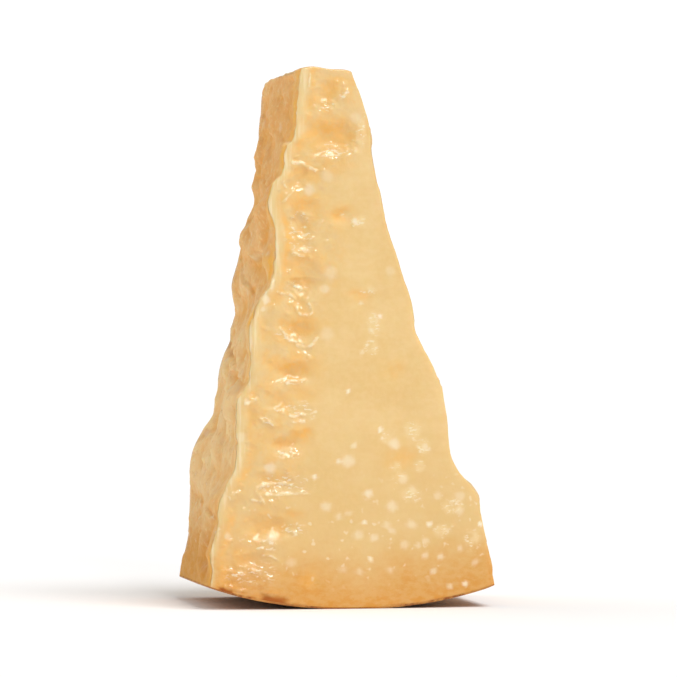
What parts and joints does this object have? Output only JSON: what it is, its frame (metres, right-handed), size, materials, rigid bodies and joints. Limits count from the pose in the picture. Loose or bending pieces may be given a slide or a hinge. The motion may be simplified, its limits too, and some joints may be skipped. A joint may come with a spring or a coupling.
{
  "type": "hard cheese chunk",
  "caption": "Tall wedge of aged grainy hard cheese standing on its curved rind, with a flat cut front, craggy broken sides and a narrow broken tip.",
  "frame": {"origin": "centre of the bounding box in plan, at the height of the flat that the rind rests on", "axes": "+Z from the rind at the foot to the tip; the flat cut face looks towards -Y; +X to the right as seen from the front"},
  "size_m": [0.1038, 0.0756, 0.1913],
  "materials": {
    "cheese": "waxy satin straw-yellow paste, golden rind"
  },
  "bodies": {
    "root": {"cheese": "cheese"}
  },
  "joints": []
}
